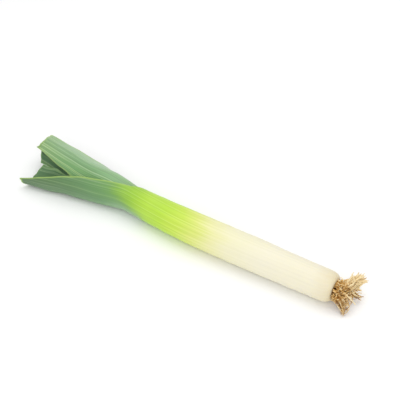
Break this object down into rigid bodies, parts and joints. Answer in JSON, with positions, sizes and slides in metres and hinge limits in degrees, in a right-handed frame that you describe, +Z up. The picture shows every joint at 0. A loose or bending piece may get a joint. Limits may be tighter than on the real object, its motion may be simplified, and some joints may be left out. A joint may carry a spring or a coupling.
{
  "type": "leek",
  "caption": "Trimmed leek lying on its side: a long pale shank of rolled leaf sheaths, folded green blades that fan out at one end and a tuft of cut roots at the other.",
  "frame": {"origin": "middle of the narrow flat strip on the underside of the shank, on the surface it lies on", "axes": "+X runs along the shank towards the roots, the leaf blades lie towards -X, +Y points away from the side the blades lean to, +Z is up"},
  "size_m": [0.4235, 0.0668, 0.0411],
  "materials": {
    "shank": "smooth, faintly glossy plant skin, cream at the root end turning yellow-green towards the leaves",
    "blade": "waxy leaf with fine lengthwise veins",
    "roots": "dry fibrous straw"
  },
  "bodies": {
    "root": {"shank": "shank", "leaf_1": "blade", "leaf_2": "blade", "leaf_3": "blade", "leaf_4": "blade", "leaf_5": "blade", "leaf_6": "blade", "leaf_7": "blade", "root_tuft": "roots"}
  },
  "joints": []
}
